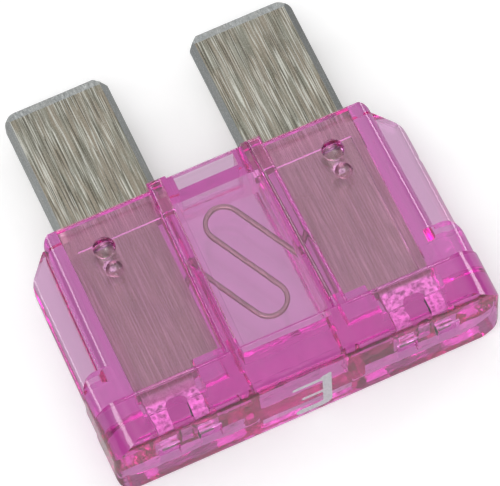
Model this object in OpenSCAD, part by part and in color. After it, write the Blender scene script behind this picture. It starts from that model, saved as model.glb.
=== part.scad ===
// Automotive blade fuse, regular size: a one-piece clear housing and a one-piece
// stamping made of two blades and the fuse link.
// Millimetres. The fuse lies on its back: +Z is the normal of its broad face,
// +Y points along the blades to their tips, X runs across the two blades.
// Origin: centre of the bounding box in X and Y, lowest point in Z.

/* [Overall] */
// Length from the head's end face to the blade tips
overall_length = 18.5; // [18:0.1:19.5]
// Width of the head
head_width = 19.1; // [18.6:0.1:19.6]
// Thickness of the head
head_thickness = 5.1; // [4.9:0.05:5.4]
// Height of the head bar along the blades
head_height = 2.42; // [2:0.02:2.7]
// Corner radius of the head bar, seen from its end
head_corner_r = 1.65; // [0.8:0.05:1.8]

/* [Blades] */
// Width of one blade
blade_width = 5.2; // [5:0.05:5.3]
// Thickness of the blades
blade_thickness = 0.65; // [0.6:0.01:0.7]
// Distance over the outer edges of the two blades
blade_spread = 14.6; // [14.3:0.1:14.8]
// Blade length outside the housing
blade_exposed = 6.85; // [6.3:0.05:7.3]
// Cut of the blade tip's corners
tip_corner = 0.45; // [0.25:0.05:0.6]
// Width of the bevel on the inner long edges
edge_bevel = 0.32; // [0.15:0.01:0.4]

/* [Fuse link] */
// Width of the S-shaped strip
link_width = 0.24; // [0.18:0.01:0.3]
// Thickness of the strip
link_thickness = 0.24; // [0.18:0.01:0.3]
// Centreline radius of the two U-turns
link_turn_r = 0.86; // [0.7:0.01:0.95]
// Lean of the straight runs from the blade direction, degrees
link_lean = 27.5; // [22:0.5:30]

/* [Housing] */
// Half width of the body over the blades, at the shoulder
body_half_w = 8.22; // [8:0.02:8.4]
// Thickness of the body over the blades
body_thickness = 3; // [2.8:0.05:3.3]
// Draft of the side walls and ribs, degrees
draft = 1.2; // [0:0.1:2]
// Thickness over the ribs beside the window
rib_thickness = 5; // [4.8:0.05:5.05]
// Thickness over the window panes
pane_thickness = 4.15; // [3.9:0.05:4.3]
// Half width of the window between the ribs, at the shoulder
window_half_w = 2.12; // [2:0.02:2.3]
// Rib width
rib_width = 0.72; // [0.55:0.01:0.85]
// Half width over the wings, at the shoulder end
wing_half_w = 9.38; // [9.2:0.02:9.5]
// Thickness of the wing webs
wing_thickness = 1.1; // [0.9:0.05:1.4]

/* [Inside] */
// Half width of the link chamber
chamber_half_w = 2.2; // [2:0.05:2.4]
// Thickness of the link chamber
chamber_thickness = 2.45; // [2:0.05:2.8]
// Depth of the pocket between the blades at the shoulder
mouth_depth = 0.62; // [0.4:0.02:0.8]

/* [Part] */
// Which node to build

/* [Hidden] */
$fn = 64;
eps = 0.01;
zc = head_thickness / 2;
y_end = -overall_length / 2;
y_tip = overall_length / 2;
y_sh = y_tip - blade_exposed;
y_head = y_end + head_height;
blade_out = blade_spread / 2;
blade_in = blade_out - blade_width;
body_hi = zc + body_thickness / 2;
body_lo = zc - body_thickness / 2;
rib_hi = zc + rib_thickness / 2;
rib_lo = zc - rib_thickness / 2;
pane_hi = zc + pane_thickness / 2;
pane_lo = zc - pane_thickness / 2;
wing_hi = zc + wing_thickness / 2;
wing_lo = zc - wing_thickness / 2;
slot_h = blade_thickness + 0.16;
relief_h = blade_thickness + 0.5;
lead = 0.12;
lead_h = 0.1;
cham_lo = zc - chamber_thickness / 2;
cham_hi = zc + chamber_thickness / 2;
y_closure = y_sh - mouth_depth;
y_step = y_sh - 1.24;
y_cham_end = y_end + 2.32;
y_wide_end = y_head + 0.26;
y_in_end = y_head + 1.03;
y_relief_end = y_head + 0.58;
notch_y = y_end + 1.54;
link_round = 0.08;
head_end_r = 0.45;
fork_r = 0.3;
inner_in = 2.98;
wide_in = 4.36;
part_out = chamber_half_w + 0.32;
block_in = window_half_w - 0.62;
pane_fillet = 0.2;
rib_round = 0.22;
tab_in = 4.66;
tab_out = 7.18;
fork_in = 5.4;
fork_out = 6.42;
fork_top = y_end + 1.87;
tab_end = y_end + 0.32;
gap_lo = y_end + 1.5;
gap_hi = y_head + 0.33;
gap_h = 1.4;
link_y = y_end + 6.97;
peak_y = -2 * link_turn_r * sin(link_lean) + 1.85 * cos(link_lean);
link_slit = link_thickness + 0.18;
stake_x = 5.75;

// ---- 2-D helpers ----
module rrect(x0, x1, y0, y1, r) {
  translate([x0 + r, y0]) square([x1 - x0 - 2 * r, y1 - y0]);
  translate([x0, y0 + r]) square([x1 - x0, y1 - y0 - 2 * r]);
  for (x = [x0 + r, x1 - r], y = [y0 + r, y1 - r]) translate([x, y]) circle(r);
}

module square_to(x0, x1, y0, y1) {
  translate([x0, y0]) square([x1 - x0, y1 - y0]);
}

// Extrude a profile drawn in X and Z along Y
module along_y(y0, y1) {
  translate([0, y1, 0]) rotate([90, 0, 0]) linear_extrude(y1 - y0) children();
}

// Extrude a profile drawn in Y and Z along X
module along_x(x0, x1) {
  translate([x0, 0, 0]) rotate([90, 0, 90]) linear_extrude(x1 - x0) children();
}

module box(x0, x1, y0, y1, z0, z1) {
  translate([x0, y0, z0]) cube([x1 - x0, y1 - y0, z1 - z0]);
}

module both() {
  children();
  mirror([1, 0, 0]) children();
}

// ---- housing solids ----
// Side view of the head bar: the front edge of the end face is rounder than the others
module head_side() {
  r = 0.2;
  q = head_end_r;
  square_to(y_end + q, y_head - r, 0, head_thickness);
  square_to(y_end, y_head, r, head_thickness - q);
  square_to(y_end + q, y_head, r, head_thickness - r);
  for (z = [r, head_thickness - r]) translate([y_head - r, z]) circle(r);
  translate([y_end + r, r]) circle(r);
  square_to(y_end + r, y_head - r, 0, head_thickness / 2);
  translate([y_end + q, head_thickness - q]) circle(q);
}

module head_bar() {
  intersection() {
    along_y(y_end, y_head)
      rrect(-head_width / 2, head_width / 2, 0, head_thickness, head_corner_r);
    linear_extrude(head_thickness)
      rrect(-head_width / 2, head_width / 2, y_end, y_head + 2, 0.35);
    along_x(-head_width / 2, head_width / 2) head_side();
  }
}

// Half of the body beside the window: the side is turned by the draft about the shoulder
module body_half() {
  x1 = body_half_w + (y_sh - y_head + 1) * tan(draft);
  intersection() {
    translate([0, y_sh, 0]) rotate([0, 0, draft]) translate([0, -y_sh, 0])
      along_y(y_head - 1.2, y_sh + 0.5) rrect(-2, body_half_w, body_lo, body_hi, 0.62);
    linear_extrude(head_thickness) {
      polygon([
        [-2, y_head - 1], [-2, y_sh], [body_half_w - 0.62, y_sh],
        [body_half_w - 0.62, y_sh - 0.62], [body_half_w, y_sh - 0.62], [x1, y_head - 1]
      ]);
      translate([body_half_w - 0.62, y_sh - 0.62]) circle(0.62);
    }
    along_x(-2, 12) rrect(y_head - 2, y_sh, body_lo, body_hi, 0.15);
  }
}

module rib_bar() {
  intersection() {
    translate([window_half_w, y_sh, 0]) rotate([0, 0, draft]) translate([0, -y_sh, 0])
      along_y(y_head - 1, y_sh + 0.5) {
        rrect(0, rib_width, rib_lo, rib_hi, rib_round);
        // foot, in which the window recess ends with its rounding
        square_to(-pane_fillet - 0.04, 0.1, pane_lo - pane_fillet, pane_hi + pane_fillet);
      }
    along_x(0, 5) rrect(y_head - 2, y_sh, rib_lo, rib_hi, 0.3);
  }
}

module window_slab() {
  intersection() {
    linear_extrude(head_thickness)
      polygon([
        [-window_half_w - 0.3, y_sh], [window_half_w + 0.3, y_sh],
        [window_half_w + 0.5, y_head - 1], [-window_half_w - 0.5, y_head - 1]
      ]);
    along_x(-4, 4) rrect(y_head - 2, y_sh, pane_lo, pane_hi, 0.12);
  }
}

module wing() {
  w0 = wing_half_w;
  w1 = wing_half_w + 0.14;
  r = 0.95;
  intersection() {
    // web with rounded outer edges, turned so that it widens towards the head
    translate([w0, y_sh, 0]) rotate([0, 0, 0.85]) translate([-w0, -y_sh, 0])
      along_y(y_head - 0.3, y_sh) rrect(7, w0, wing_lo, wing_hi, 0.42);
    // outline with a chamfered, rounded shoulder corner
    linear_extrude(head_thickness)
      polygon(concat(
        [[body_half_w - 0.3, y_sh - 0.36], [body_half_w + 0.06, y_sh - 0.36]],
        [for (a = [48:-6:0]) [w0 - r + r * cos(a), y_sh - 2 + r * sin(a)]],
        [[w1 + 0.1, y_head - 0.3], [body_half_w - 0.3, y_head - 0.3]]
      ));
  }
}

module pad() {
  x1 = head_width / 2 - 0.04;
  intersection() {
    along_y(y_head - 0.5, y_head + 2.2)
      rrect(7.2, x1, body_lo - 0.03, body_hi + 0.03, 0.75);
    linear_extrude(head_thickness) {
      square_to(7.2, x1 - 0.9, y_head - 0.5, y_head + 2.05);
      square_to(7.2, x1, y_head - 0.5, y_head + 1.15);
      translate([x1 - 0.9, y_head + 1.15]) circle(0.9);
    }
  }
}

// ---- housing hollows ----
// Half of the window recess, above Z = 0: its side leans with the rib and its foot is rounded
module window_cut_half() {
  r = pane_fillet;
  translate([window_half_w, y_sh, 0]) rotate([0, 0, draft]) translate([0, -y_sh, 0])
    along_y(notch_y - 1, y_sh + 1) {
      translate([-window_half_w - 0.3, 0]) square([window_half_w + 0.3 - r, 2]);
      translate([-window_half_w - 0.3, r]) square([window_half_w + 0.3, 2 - r]);
      translate([-r, r]) circle(r);
    }
}

module window_cut() {
  intersection() {
    both() window_cut_half();
    linear_extrude(2)
      polygon([
        [-window_half_w - 0.6, y_sh + 0.9], [window_half_w + 0.6, y_sh + 0.9],
        [window_half_w + 0.6, notch_y + 0.56], [window_half_w + 0.1, notch_y],
        [-window_half_w - 0.1, notch_y], [-window_half_w - 0.6, notch_y + 0.56]
      ]);
  }
}

module blade_slot() {
  // close-fitting mouth with a lead-in
  box(blade_in - 0.06, blade_out + 0.05, y_step, y_sh + 1, zc - slot_h / 2, zc + slot_h / 2);
  along_x(blade_in - 0.06, blade_out + 0.05)
    polygon([
      [y_sh - lead, zc - slot_h / 2], [y_sh + eps, zc - slot_h / 2 - lead_h],
      [y_sh + eps, zc + slot_h / 2 + lead_h], [y_sh - lead, zc + slot_h / 2]
    ]);
  // close fit along the outer edge and round the wide end of the blade
  box(wide_in - 0.06, blade_out + 0.05, y_wide_end - 0.1, y_step + eps, zc - slot_h / 2, zc + slot_h / 2);
  // relieved pocket over the blade, with a step at its inner end
  box(part_out, 6.88, y_in_end - 0.1, y_step, zc - relief_h / 2, zc + relief_h / 2);
  box(wide_in - 0.06, 6.88, y_relief_end, y_in_end, zc - relief_h / 2, zc + relief_h / 2);
}

// Slit through the partition, along which the link passes when the housing goes on
module link_slit(y0) {
  box(chamber_half_w - 0.2, part_out + 0.1, y0, y_step, zc - link_slit / 2, zc + link_slit / 2);
}

// The post that stays between the fork's legs has the fork's rounded top
module fork_post() {
  rrect(fork_in, fork_out, y_end - 1, fork_top - 0.06, fork_r);
}

module tab_channel() {
  // close-fitting channel of the tab
  translate([0, 0, zc - slot_h / 2]) linear_extrude(slot_h)
    difference() {
      square_to(tab_in - 0.06, tab_out + 0.06, tab_end - 0.05, y_wide_end);
      fork_post();
    }
  // wider, higher pocket round the tab's root
  translate([0, 0, zc - gap_h / 2]) linear_extrude(gap_h)
    difference() {
      square_to(tab_in - 0.3, tab_out + 0.3, gap_lo, gap_hi);
      fork_post();
    }
  // probe windows in the end face
  box(tab_in - 0.3, fork_in, y_end - 1, tab_end, zc - 0.75, zc + 0.75);
  box(fork_out, tab_out + 0.3, y_end - 1, tab_end, zc - 0.75, zc + 0.75);
}

module stake_mark() {
  translate([stake_x, y_sh - 1.76, zc + 1.32]) sphere(0.53);
  translate([stake_x, y_sh - 1.76, zc + 1.32]) cylinder(h = 2, r = 0.53);
  translate([stake_x, y_sh - 2.95, body_hi + 0.24]) sphere(0.48);
}

module housing() {
  color([0.78, 0.45, 0.68, 0.45])
    difference() {
      union() {
        head_bar();
        both() body_half();
        both() rib_bar();
        window_slab();
        both() wing();
        both() pad();
      }
      translate([0, 0, pane_hi]) window_cut();
      mirror([0, 0, 1]) translate([0, 0, -pane_lo]) window_cut();
      box(-chamber_half_w, chamber_half_w, y_cham_end, y_step + 0.02, cham_lo, cham_hi);
      box(-block_in, block_in, y_closure, y_sh + 1, cham_lo, cham_hi);
      both() blade_slot();
      both() tab_channel();
      mirror([1, 0, 0]) link_slit(link_y + peak_y - 0.75);
      link_slit(link_y - peak_y - 0.26);
      both() stake_mark();
      // shallow mark in the edge of one wing
      translate([wing_half_w + 0.27, y_sh - 3.4, 0]) cylinder(h = head_thickness, r = 0.3);
    }
}

// ---- stamping ----
// Full-width end of a blade: both corners are cut at 45 degrees, the inner one sharply
module blade_tip() {
  r = 0.5;
  ri = 0.06;
  k = tip_corner + r * tan(22.5);
  ki = tip_corner + 0.08 + ri * tan(22.5);
  polygon(concat(
    [[blade_out, y_step + 0.05]],
    [for (a = [0:7.5:45]) [blade_out - r + r * cos(a), y_tip - k + r * sin(a)]],
    [for (a = [45:7.5:90]) [blade_out - k + r * cos(a), y_tip - r + r * sin(a)]],
    [for (a = [90:15:135]) [blade_in + ki + ri * cos(a), y_tip - ri + ri * sin(a)]],
    [for (a = [135:15:180]) [blade_in + ri + ri * cos(a), y_tip - ki + ri * sin(a)]],
    [[blade_in, y_step + 0.05]]
  ));
}

module blade_outline() {
  difference() {
    union() {
      blade_tip();
      square_to(inner_in, blade_out, y_in_end, y_step + 0.1);
      square_to(wide_in, blade_out, y_wide_end, y_in_end + 0.1);
      square_to(tab_in, tab_out, tab_end, y_wide_end + 0.1);
    }
    rrect(fork_in, fork_out, tab_end - 1, fork_top, fork_r);
  }
}

// Wedge that cuts a bevel along an edge lying on the Y axis, material on +X
module bevel_edge(w, d, len) {
  rotate([90, 0, 0]) translate([0, 0, -len])
    linear_extrude(len) polygon([[-0.3, 0.3], [w, 0.3], [w, 0], [0, -d], [-0.3, -d]]);
}

module blade_bevels() {
  t = blade_thickness / 2;
  // inner long edge
  translate([blade_in, y_sh - 0.5, zc + t]) bevel_edge(edge_bevel, 0.24, 9);
  // outer long edge, shallow
  translate([blade_out, 0, zc + t]) mirror([1, 0, 0])
    translate([0, y_sh - 0.5, 0]) bevel_edge(0.3, 0.07, 9);
  // tip, shallow
  translate([blade_in - 1, y_tip, zc + t]) rotate([0, 0, -90])
    bevel_edge(0.4, 0.11, 8);
}

// Section of the link, with rounded edges
module link_section(inset = 0) {
  w = link_width / 2 - inset;
  t = link_thickness / 2 - inset;
  rrect(-w, w, -t, t, link_round - inset);
}

// Straight run of the link between two points
module strip(a, b) {
  d = b - a;
  translate(a) rotate([0, 0, atan2(d[1], d[0])]) rotate([90, 0, 90])
    linear_extrude(norm(d)) link_section();
}

// Half ring on the side that dir points to; its ends reach a little into the runs
module turn(c, dir) {
  translate(c) rotate([0, 0, dir - 93])
    rotate_extrude(angle = 186) translate([link_turn_r, 0]) link_section(0.005);
}

module link() {
  d = [sin(link_lean), -cos(link_lean)];
  n = [cos(link_lean), sin(link_lean)];
  s = 1.97;
  c1 = -link_turn_r * n + s * d;
  p_low = c1 - link_turn_r * n;
  peak = -2 * link_turn_r * n - 1.85 * d;
  foot = [-inner_in - 0.3, peak[1] - 1.2];
  translate([0, link_y, zc]) {
    strip(-s * d, s * d);
    for (k = [0, 180]) rotate([0, 0, k]) {
      turn(c1, -90 + link_lean);
      strip(p_low, peak);
      translate(peak) sphere(link_width / 2 + 0.03);
      strip(foot, peak);
    }
  }
}

module stamping() {
  color([0.62, 0.62, 0.57]) union() {
    difference() {
      translate([0, 0, zc - blade_thickness / 2]) linear_extrude(blade_thickness)
        both() blade_outline();
      both() blade_bevels();
      translate([0, 0, 2 * zc]) mirror([0, 0, 1]) both() blade_bevels();
    }
    link();
  }
}

housing();
stamping();
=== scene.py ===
"""Automotive blade fuse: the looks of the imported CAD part, in metres, in its own frame.

The fuse lies on its back on a pale floor. +Z is its broad face, +Y runs to the blade tips.
"""

import math

import bmesh
import bpy
from mathutils import Matrix, Vector
from mathutils.geometry import tessellate_polygon


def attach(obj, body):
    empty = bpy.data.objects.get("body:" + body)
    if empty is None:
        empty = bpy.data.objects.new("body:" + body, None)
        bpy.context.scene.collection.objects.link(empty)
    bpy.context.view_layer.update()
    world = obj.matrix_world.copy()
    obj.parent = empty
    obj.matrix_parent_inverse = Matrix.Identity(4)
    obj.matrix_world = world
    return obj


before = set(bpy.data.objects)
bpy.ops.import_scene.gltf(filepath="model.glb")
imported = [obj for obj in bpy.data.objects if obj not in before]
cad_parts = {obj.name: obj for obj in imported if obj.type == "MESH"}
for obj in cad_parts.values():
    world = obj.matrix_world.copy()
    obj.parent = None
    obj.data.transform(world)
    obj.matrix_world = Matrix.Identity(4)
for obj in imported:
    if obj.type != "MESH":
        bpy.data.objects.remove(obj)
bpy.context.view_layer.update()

MM = 0.001
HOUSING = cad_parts["housing"]
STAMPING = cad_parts["stamping"]
FLOOR_GLOW = 0.40


# ---------------------------------------------------------------- node helpers
def new_material(name):
    mat = bpy.data.materials.new(name)
    mat.use_nodes = True
    tree = mat.node_tree
    tree.nodes.clear()
    out = tree.nodes.new("ShaderNodeOutputMaterial")
    bsdf = tree.nodes.new("ShaderNodeBsdfPrincipled")
    tree.links.new(bsdf.outputs["BSDF"], out.inputs["Surface"])
    return mat, tree, bsdf, out


def noise(tree, vector, scale, detail=2.0, rough=0.5, distortion=0.0):
    n = tree.nodes.new("ShaderNodeTexNoise")
    n.inputs["Scale"].default_value = scale
    n.inputs["Detail"].default_value = detail
    n.inputs["Roughness"].default_value = rough
    n.inputs["Distortion"].default_value = distortion
    tree.links.new(vector, n.inputs["Vector"])
    return n.outputs["Fac"]


def stretched(tree, scale, rotate_z=0.0):
    """Object coordinates, metres times scale, so that one unit is one grain of the pattern."""
    tc = tree.nodes.new("ShaderNodeTexCoord")
    m = tree.nodes.new("ShaderNodeMapping")
    m.inputs["Scale"].default_value = scale
    m.inputs["Rotation"].default_value = (0.0, 0.0, rotate_z)
    tree.links.new(tc.outputs["Object"], m.inputs["Vector"])
    return m.outputs["Vector"]


def ramp(tree, value, stops):
    r = tree.nodes.new("ShaderNodeValToRGB")
    els = r.color_ramp.elements
    while len(els) < len(stops):
        els.new(0.5)
    for e, (pos, col) in zip(els, stops):
        e.position = pos
        e.color = (*col, 1.0) if len(col) == 3 else col
    tree.links.new(value, r.inputs["Fac"])
    return r.outputs["Color"]


def mix_color(tree, fac, a, b, mode="MIX"):
    m = tree.nodes.new("ShaderNodeMix")
    m.data_type = "RGBA"
    m.blend_type = mode
    f, sa, sb = m.inputs[0], m.inputs[6], m.inputs[7]
    for sock, v in ((f, fac), (sa, a), (sb, b)):
        if isinstance(v, bpy.types.NodeSocket):
            tree.links.new(v, sock)
        elif isinstance(v, (int, float)):
            sock.default_value = v
        else:
            sock.default_value = (*v, 1.0)
    return m.outputs[2]


def maths(tree, op, a, b=None, clamp=False):
    m = tree.nodes.new("ShaderNodeMath")
    m.operation = op
    m.use_clamp = clamp
    for sock, v in zip(m.inputs, (a, b)):
        if v is None:
            continue
        if isinstance(v, bpy.types.NodeSocket):
            tree.links.new(v, sock)
        else:
            sock.default_value = v
    return m.outputs[0]


def map_range(tree, value, a, b, c, d):
    m = tree.nodes.new("ShaderNodeMapRange")
    m.inputs["From Min"].default_value = a
    m.inputs["From Max"].default_value = b
    m.inputs["To Min"].default_value = c
    m.inputs["To Max"].default_value = d
    tree.links.new(value, m.inputs["Value"])
    return m.outputs["Result"]


def bump(tree, height, distance, strength=1.0, normal=None):
    b = tree.nodes.new("ShaderNodeBump")
    b.inputs["Distance"].default_value = distance
    b.inputs["Strength"].default_value = strength
    tree.links.new(height, b.inputs["Height"])
    if normal is not None:
        tree.links.new(normal, b.inputs["Normal"])
    return b.outputs["Normal"]


# ---------------------------------------------------------------- materials
def clear_plastic():
    """Clear injection-moulded plastic, tinted pink in the mass."""
    mat, tree, bsdf, out = new_material("tinted_plastic")
    bsdf.inputs["Base Color"].default_value = (1.0, 1.0, 1.0, 1.0)
    bsdf.inputs["IOR"].default_value = 1.585
    bsdf.inputs["Transmission Weight"].default_value = 0.98
    # slow flow marks, stronger in the thick head, and a fine polish
    split = tree.nodes.new("ShaderNodeSeparateXYZ")
    tree.links.new(stretched(tree, (1000, 1000, 1000)), split.inputs[0])
    in_head = map_range(tree, split.outputs["Y"], -6.2, -7.2, 0.30, 1.0)
    flow = maths(tree, "MULTIPLY", noise(tree, stretched(tree, (900, 620, 900)), 1.0, 2.0), in_head)
    fine = noise(tree, stretched(tree, (5200, 2600, 5200)), 1.0, 3.0)
    tree.links.new(map_range(tree, fine, 0.3, 0.75, 0.02, 0.09), bsdf.inputs["Roughness"])
    n1 = bump(tree, flow, 0.045 * MM)
    tree.links.new(bump(tree, fine, 0.0004 * MM, normal=n1), bsdf.inputs["Normal"])
    absorb = tree.nodes.new("ShaderNodeVolumeAbsorption")
    absorb.inputs["Density"].default_value = 460.0
    absorb.inputs["Color"].default_value = (0.961, 0.0, 0.805, 1.0)
    tree.links.new(absorb.outputs["Volume"], out.inputs["Volume"])
    return mat


def rolled_metal():
    """Plated strip with the streaks of rolling along the blades; worn outside; painted lighter inside the housing,
    with painted highlights at the forks and under the stake marks.
    """
    mat, tree, bsdf, out = new_material("blade_metal")
    bsdf.inputs["Metallic"].default_value = 1.0
    long_streaks = noise(tree, stretched(tree, (11500, 220, 11500)), 1.0, 1.0, 0.5)
    dark_lines = noise(tree, stretched(tree, (18500, 430, 18500), 0.003), 1.0, 0.6, 0.5)
    pale_lines = noise(tree, stretched(tree, (21000, 520, 21000), -0.004), 1.0, 0.6, 0.5)
    tint = noise(tree, stretched(tree, (2600, 520, 2600)), 1.0, 2.0, 0.5)
    speckle = noise(tree, stretched(tree, (26000, 20000, 26000)), 1.0, 2.0, 0.7)
    blotch = noise(tree, stretched(tree, (900, 700, 900)), 1.0, 2.0, 0.5)
    streaked = ramp(
        tree,
        long_streaks,
        [(0.32, (0.215, 0.202, 0.156)), (0.50, (0.315, 0.300, 0.238)), (0.68, (0.44, 0.420, 0.350))],
    )
    # greenish and brownish drift from streak to streak
    streaked = mix_color(tree, map_range(tree, tint, 0.42, 0.58, 0.0, 0.45), streaked, (0.43, 0.355, 0.275))
    streaked = mix_color(tree, map_range(tree, tint, 0.46, 0.34, 0.0, 0.25), streaked, (0.38, 0.42, 0.37))
    streaked = mix_color(tree, map_range(tree, dark_lines, 0.54, 0.63, 0.0, 0.82), streaked, (0.10, 0.092, 0.070))
    streaked = mix_color(tree, map_range(tree, pale_lines, 0.57, 0.66, 0.0, 0.80), streaked, (0.80, 0.80, 0.73))
    # the part inside the housing isn't worn: its streaks are fainter
    split = tree.nodes.new("ShaderNodeSeparateXYZ")
    tree.links.new(stretched(tree, (1000, 1000, 1000)), split.inputs[0])
    along = split.outputs["Y"]
    worn = map_range(tree, along, 1.9, 2.9, 0.36, 1.0)
    # only the broad faces are rolled: bevels and cut edges are plain
    facing = tree.nodes.new("ShaderNodeSeparateXYZ")
    tree.links.new(tree.nodes.new("ShaderNodeTexCoord").outputs["Normal"], facing.inputs[0])
    broad = map_range(tree, maths(tree, "ABSOLUTE", facing.outputs["Z"]), 0.975, 0.995, 0.12, 1.0)
    worn = maths(tree, "MULTIPLY", worn, broad)
    # painted light: inside the housing the metal gets a lighter, greener colour than outside, standing in for how it
    # shows lit through the pink plastic
    covered = mix_color(tree, map_range(tree, along, 1.9, 2.9, 0.0, 1.0), (0.475, 0.53, 0.315), (0.28, 0.30, 0.31))
    # painted light: paler between the shoulder and the step of the pocket
    pocket_painted_light = maths(
        tree,
        "MULTIPLY",
        map_range(tree, along, 0.9, 1.2, 0.0, 1.0),
        map_range(tree, along, 2.4, 2.1, 0.0, 1.0),
    )
    covered = mix_color(tree, pocket_painted_light, covered, (0.60, 0.70, 0.42))
    # the ends of the fork stand free in the test windows
    covered = mix_color(tree, map_range(tree, along, -8.3, -8.5, 0.0, 1.0), covered, (0.50, 0.49, 0.46))
    base = mix_color(tree, worn, covered, streaked)
    base = mix_color(tree, map_range(tree, speckle, 0.54, 0.68, 0.0, 0.50), base, (0.20, 0.185, 0.16))
    base = mix_color(tree, map_range(tree, speckle, 0.44, 0.30, 0.0, 0.45), base, (0.74, 0.73, 0.69))
    base = mix_color(tree, map_range(tree, blotch, 0.35, 0.65, 0.0, 0.16), base, (0.33, 0.31, 0.27))
    # painted highlight on the coined plating round the fork, fainter on the left one
    lump = noise(tree, stretched(tree, (4200, 4200, 4200)), 1.0, 3.0, 0.65)
    fork = maths(
        tree,
        "MULTIPLY",
        map_range(tree, along, -6.66, -6.80, 0.0, 1.0),
        map_range(tree, along, -8.50, -8.30, 0.0, 1.0),
    )
    across = split.outputs["X"]
    right_side = map_range(tree, across, -0.5, 0.5, 0.0, 1.0)
    low = map_range(tree, along, -7.12, -7.30, 0.35, 1.0)
    fork = maths(tree, "MULTIPLY", fork, maths(tree, "MAXIMUM", right_side, low))
    # a painted glint under each stake mark, on the front only
    off_x = maths(tree, "SUBTRACT", maths(tree, "ABSOLUTE", across), 5.78)
    far = maths(tree, "ADD", maths(tree, "MULTIPLY", off_x, off_x), maths(tree, "MULTIPLY", along, along))
    far = maths(tree, "ADD", far, map_range(tree, lump, 0.3, 0.7, -0.04, 0.04))
    stake_painted_glint = maths(
        tree,
        "MULTIPLY",
        map_range(tree, far, 0.14, 0.06, 0.0, 1.0),
        map_range(tree, facing.outputs["Z"], 0.5, 0.6, 0.0, 1.0),
    )
    fork = maths(tree, "MAXIMUM", fork, stake_painted_glint)
    painted_highlight_colour = ramp(tree, lump, [(0.34, (0.54, 0.56, 0.50)), (0.54, (0.86, 0.98, 0.84))])
    base = mix_color(tree, fork, base, painted_highlight_colour)
    tree.links.new(base, bsdf.inputs["Base Color"])
    rough = map_range(tree, long_streaks, 0.3, 0.7, 0.46, 0.30)
    lumpy = map_range(tree, lump, 0.35, 0.65, 0.62, 0.42)
    tree.links.new(
        maths(tree, "ADD", maths(tree, "MULTIPLY", rough, maths(tree, "SUBTRACT", 1.0, fork)), maths(tree, "MULTIPLY", lumpy, fork)),
        bsdf.inputs["Roughness"],
    )
    n1 = bump(tree, maths(tree, "MULTIPLY", long_streaks, worn), 0.006 * MM)
    n2 = bump(tree, maths(tree, "MULTIPLY", maths(tree, "SUBTRACT", pale_lines, dark_lines), worn), 0.0015 * MM, normal=n1)
    # the coined part leans a little, and is lumpy
    lean = maths(tree, "ADD", maths(tree, "MULTIPLY", along, 0.40), maths(tree, "MULTIPLY", across, 0.21))
    lean = maths(tree, "ADD", lean, maths(tree, "MULTIPLY", lump, 0.035))
    coined = bump(tree, lean, 1.0 * MM)
    pick = tree.nodes.new("ShaderNodeMix")
    pick.data_type = "VECTOR"
    tree.links.new(fork, pick.inputs[0])
    tree.links.new(n2, pick.inputs[4])
    tree.links.new(coined, pick.inputs[5])
    tree.links.new(pick.outputs[1], bsdf.inputs["Normal"])
    return mat


def silver_ink():
    """Thin printed film, slightly mottled."""
    mat, tree, bsdf, out = new_material("ink")
    mottle = noise(tree, stretched(tree, (9000, 9000, 9000)), 1.0, 3.0, 0.6)
    base = ramp(
        tree, mottle, [(0.3, (0.62, 0.58, 0.64)), (0.6, (0.80, 0.75, 0.82))]
    )
    tree.links.new(base, bsdf.inputs["Base Color"])
    bsdf.inputs["Metallic"].default_value = 0.3
    bsdf.inputs["Roughness"].default_value = 0.42
    tree.links.new(bump(tree, mottle, 0.003 * MM), bsdf.inputs["Normal"])
    return mat


def pale_floor():
    """Pale paper: white to the camera, a mid grey to the light that the fuse gathers."""
    mat, tree, bsdf, out = new_material("floor_paper")
    grain = noise(tree, stretched(tree, (2200, 2200, 2200)), 1.0, 3.0)
    base = ramp(tree, grain, [(0.3, (0.89, 0.89, 0.89)), (0.7, (0.92, 0.92, 0.92))])
    tree.links.new(base, bsdf.inputs["Base Color"])
    bsdf.inputs["Roughness"].default_value = 0.85
    bsdf.inputs["Specular IOR Level"].default_value = 0.2
    bsdf.inputs["Emission Color"].default_value = (1.0, 1.0, 1.0, 1.0)
    bsdf.inputs["Emission Strength"].default_value = 0.22
    under = tree.nodes.new("ShaderNodeBsdfPrincipled")
    under.inputs["Base Color"].default_value = (0.25, 0.25, 0.25, 1.0)
    under.inputs["Roughness"].default_value = 0.9
    under.inputs["Specular IOR Level"].default_value = 0.0
    under.inputs["Emission Color"].default_value = (1.0, 1.0, 1.0, 1.0)
    under.inputs["Emission Strength"].default_value = FLOOR_GLOW
    under.name = "under"
    path = tree.nodes.new("ShaderNodeLightPath")
    mixer = tree.nodes.new("ShaderNodeMixShader")
    tree.links.new(path.outputs["Is Camera Ray"], mixer.inputs[0])
    tree.links.new(under.outputs[0], mixer.inputs[1])
    tree.links.new(bsdf.outputs[0], mixer.inputs[2])
    tree.links.new(mixer.outputs[0], out.inputs["Surface"])
    return mat


def assign(obj, mat):
    obj.data.materials.clear()
    obj.data.materials.append(mat)


assign(HOUSING, clear_plastic())
assign(STAMPING, rolled_metal())


# ---------------------------------------------------------------- printed figure
def arc(cx, cz, r, a0, a1, n=8):
    return [
        (
            cx + r * math.cos(math.radians(a0 + (a1 - a0) * k / n)),
            cz + r * math.sin(math.radians(a0 + (a1 - a0) * k / n)),
        )
        for k in range(n + 1)
    ]


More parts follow.
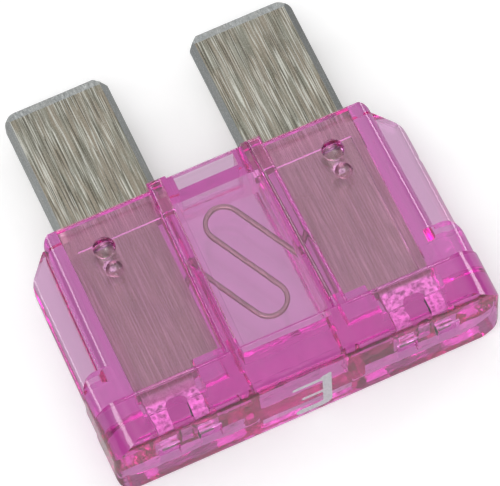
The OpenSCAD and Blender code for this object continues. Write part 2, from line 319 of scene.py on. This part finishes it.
def film(name, outline, y_out, y_in):
    """A flat film standing on the head's end face, from an outline in X and Z (mm)."""
    bm = bmesh.new()
    front = [bm.verts.new((x, y_out, z)) for x, z in outline]
    back = [bm.verts.new((x, y_in, z)) for x, z in outline]
    n = len(outline)
    for tri in tessellate_polygon([[Vector((x, z, 0.0)) for x, z in outline]]):
        bm.faces.new([front[i] for i in tri])
        bm.faces.new([back[i] for i in reversed(tri)])
    for k in range(n):
        bm.faces.new((front[(k + 1) % n], front[k], back[k], back[(k + 1) % n]))
    bmesh.ops.recalc_face_normals(bm, faces=bm.faces)
    bm.transform(Matrix.Scale(MM, 4))
    me = bpy.data.meshes.new(name)
    bm.to_mesh(me)
    bm.free()
    obj = bpy.data.objects.new(name, me)
    bpy.context.scene.collection.objects.link(obj)
    return obj


three = (
    arc(-0.74, 3.42, 0.13, 270, 90)
    + [(0.50, 3.58), (0.62, 3.74)]
    + arc(0.97, 3.76, 0.10, 90, 0, 4)
    + arc(0.62, 0.87, 0.45, 0, -90)
    + arc(-0.50, 0.67, 0.25, -90, -270)
    + arc(0.44, 1.10, 0.18, -90, 0, 4)
    + arc(0.52, 1.84, 0.10, 0, 90, 4)
    + arc(-0.31, 2.06, 0.12, 270, 90)
    + arc(0.52, 2.28, 0.10, -90, 0, 4)
    + arc(0.52, 3.19, 0.10, 0, 90, 4)
)
mark = film("printed_three", three, -9.262, -9.244)
assign(mark, silver_ink())
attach(mark, "root")

# ---------------------------------------------------------------- stage
bm = bmesh.new()
bmesh.ops.create_grid(bm, x_segments=1, y_segments=1, size=1.5)
me = bpy.data.meshes.new("floor")
bm.to_mesh(me)
bm.free()
floor = bpy.data.objects.new("floor", me)
floor.location = (0.0, 0.0, -0.00002)
bpy.context.scene.collection.objects.link(floor)
assign(floor, pale_floor())

scene = bpy.context.scene
world = bpy.data.worlds.new("studio")
scene.world = world
world.use_nodes = True
wt = world.node_tree
wt.nodes.clear()
w_out = wt.nodes.new("ShaderNodeOutputWorld")
w_bg = wt.nodes.new("ShaderNodeBackground")
wt.links.new(w_bg.outputs["Background"], w_out.inputs["Surface"])
w_tc = wt.nodes.new("ShaderNodeTexCoord")


def soft_box(direction, radiance, inner_deg=10.0, outer_deg=30.0):
    """A round soft light far away, as a smooth lobe of the world."""
    dot = wt.nodes.new("ShaderNodeVectorMath")
    dot.operation = "DOT_PRODUCT"
    wt.links.new(w_tc.outputs["Generated"], dot.inputs[0])
    dot.inputs[1].default_value = Vector(direction).normalized()
    lobe = wt.nodes.new("ShaderNodeMapRange")
    lobe.interpolation_type = "SMOOTHSTEP"
    lobe.inputs["From Min"].default_value = math.cos(math.radians(outer_deg))
    lobe.inputs["From Max"].default_value = math.cos(math.radians(inner_deg))
    lobe.inputs["To Min"].default_value = 0.0
    lobe.inputs["To Max"].default_value = radiance
    wt.links.new(dot.outputs["Value"], lobe.inputs["Value"])
    return lobe.outputs["Result"]


# soft boxes all round, wide ones and a few narrow ones: direction towards the light, radiance, inner and outer angle
LIGHTS = [
    ((0.00, -0.98, 0.21), 1.50, 10.0, 30.0),
    ((0.73, -0.30, 0.62), 0.64, 10.0, 30.0),
    ((0.30, -0.73, 0.62), 0.21, 10.0, 30.0),
    ((-0.73, -0.30, 0.62), 1.02, 10.0, 30.0),
    ((0.00, 0.44, 0.90), 0.60, 10.0, 30.0),
    ((0.42, 0.14, 0.90), 0.90, 10.0, 30.0),
    ((0.26, -0.35, 0.90), 0.36, 10.0, 30.0),
    ((-0.26, -0.35, 0.90), 2.56, 10.0, 30.0),
    ((-0.42, 0.14, 0.90), 1.08, 10.0, 30.0),
    ((-0.85, 0.23, 0.47), 1.12, 4.0, 14.0),
    ((0.23, 0.85, 0.47), 1.70, 4.0, 14.0),
    # narrow ones that draw the bands along the body's sides and the line at its shoulder
    ((0.85, 0.38, 0.35), 7.0, 3.0, 9.0),
    ((-0.70, 0.38, 0.60), 7.0, 3.0, 9.0),
    ((0.14, 0.88, 0.45), 5.0, 3.0, 9.0),
    ((-0.26, -0.35, 0.90), 9.0, 2.0, 6.0),
]
AMBIENT = 0.10
level = soft_box(*LIGHTS[0])
for entry in LIGHTS[1:]:
    level = maths(wt, "ADD", level, soft_box(*entry))
w_path = wt.nodes.new("ShaderNodeLightPath")
# behind the floor's far edge the backdrop is as white as the floor
seen = map_range(wt, w_path.outputs["Is Camera Ray"], 0.0, 1.0, 0.0, 1.0)
wt.links.new(maths(wt, "MAXIMUM", maths(wt, "ADD", level, AMBIENT), seen), w_bg.inputs["Strength"])

scene.cycles.max_bounces = 32
scene.cycles.transmission_bounces = 32
scene.cycles.transparent_max_bounces = 32
scene.cycles.glossy_bounces = 16
scene.cycles.diffuse_bounces = 6
scene.cycles.caustics_refractive = True
scene.cycles.caustics_reflective = True
scene.view_settings.view_transform = "Standard"

# ---------------------------------------------------------------- camera
right = Vector((0.9094, -0.4147, -0.0328)).normalized()
back = -Vector((0.1417, 0.3828, -0.9129)).normalized()
up = back.cross(right).normalized()
right = up.cross(back).normalized()
cam_data = bpy.data.cameras.new("camera")
cam_data.sensor_width = 36.0
cam_data.lens = 360.0
cam_data.clip_start = 0.01
cam_data.clip_end = 10.0
cam = bpy.data.objects.new("camera", cam_data)
scene.collection.objects.link(cam)
m = Matrix((right, up, back)).transposed().to_4x4()
m.translation = Vector((-0.03192, -0.08920, 0.21199))
cam.matrix_world = m
scene.camera = cam
